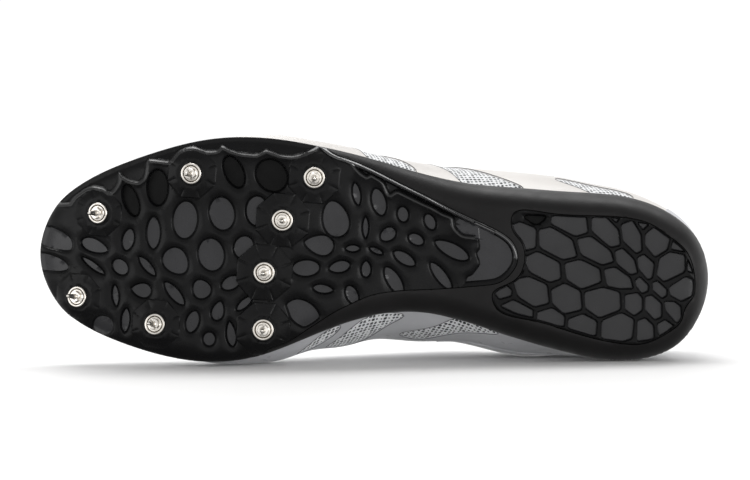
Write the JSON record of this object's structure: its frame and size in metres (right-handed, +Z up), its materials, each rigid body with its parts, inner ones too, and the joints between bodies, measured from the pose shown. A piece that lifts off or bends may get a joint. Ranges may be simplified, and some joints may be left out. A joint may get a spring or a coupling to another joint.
{
  "type": "track spike shoe",
  "caption": "Empty left track spike shoe lying on its medial side: ribbed forefoot plate with screw-in pins, honeycomb heel pad, foam midsole and a thin laced upper.",
  "frame": {"origin": "centre of the bounding box's bottom face, on the floor the shoe lies on", "axes": "+X runs from the toe to the heel, +Y from the sole to the collar, +Z up from the medial to the lateral side; the shoe lies on its medial side with its sole facing -Y"},
  "size_m": [0.286, 0.11, 0.0968],
  "materials": {
    "film_over_mesh": "thin coated film over a fine mesh, cream on the lateral side and silver grey on the medial side",
    "padded_fabric": "soft woven",
    "insole_fabric": "brushed",
    "midsole_foam": "moulded foam, satin skin",
    "plate_plastic": "moulded, low gloss",
    "heel_rubber": "moulded, low gloss",
    "spike_steel": "plated and turned",
    "lace_cord": "flat woven"
  },
  "bodies": {
    "root": {"upper": "film_over_mesh", "tongue": "padded_fabric", "insole": "insole_fabric", "midsole": "midsole_foam", "spike_plate": "plate_plastic", "heel_outsole": "heel_rubber", "spike_seat_1": "spike_steel", "spike_seat_2": "spike_steel", "spike_seat_3": "spike_steel", "spike_seat_4": "spike_steel", "spike_seat_5": "spike_steel", "spike_seat_6": "spike_steel", "spike_seat_7": "spike_steel", "spike_seat_8": "spike_steel", "spike_1": "spike_steel", "spike_2": "spike_steel", "spike_3": "spike_steel", "spike_4": "spike_steel", "spike_5": "spike_steel", "spike_6": "spike_steel", "spike_7": "spike_steel", "spike_8": "spike_steel", "lace_bar_1": "lace_cord", "lace_cross_1": "lace_cord", "lace_cross_2": "lace_cord", "lace_cross_3": "lace_cord", "lace_cross_4": "lace_cord", "lace_cross_5": "lace_cord"}
  },
  "joints": []
}
